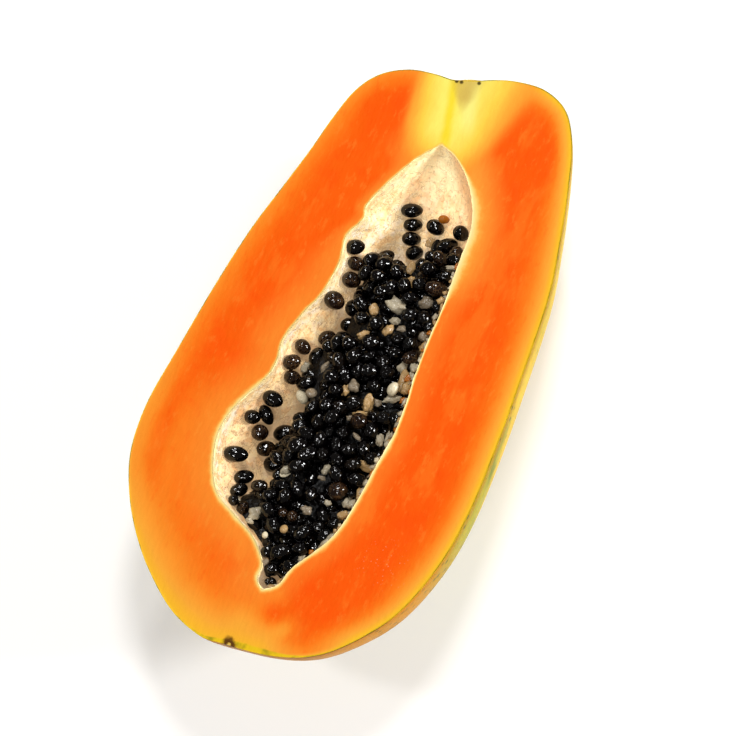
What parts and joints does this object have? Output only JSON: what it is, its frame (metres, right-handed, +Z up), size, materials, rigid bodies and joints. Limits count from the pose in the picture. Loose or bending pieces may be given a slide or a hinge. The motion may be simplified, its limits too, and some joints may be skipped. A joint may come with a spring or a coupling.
{
  "type": "halved papaya",
  "caption": "Half of a ripe papaya cut lengthwise, lying on its rind with the orange flesh and the hollow of black seeds facing up.",
  "frame": {"origin": "on the supporting surface, under the middle of the half's box", "axes": "+Y along the fruit towards the stem end, +Z up out of the level cut face, +X to the right seen from above with the stem end away"},
  "size_m": [0.098, 0.1794, 0.0499],
  "materials": {
    "flesh": "moist flesh with a waxy rind",
    "seeds": "wet and glossy"
  },
  "bodies": {
    "root": {"papaya_flesh": "flesh", "seed_heap": "seeds"}
  },
  "joints": []
}
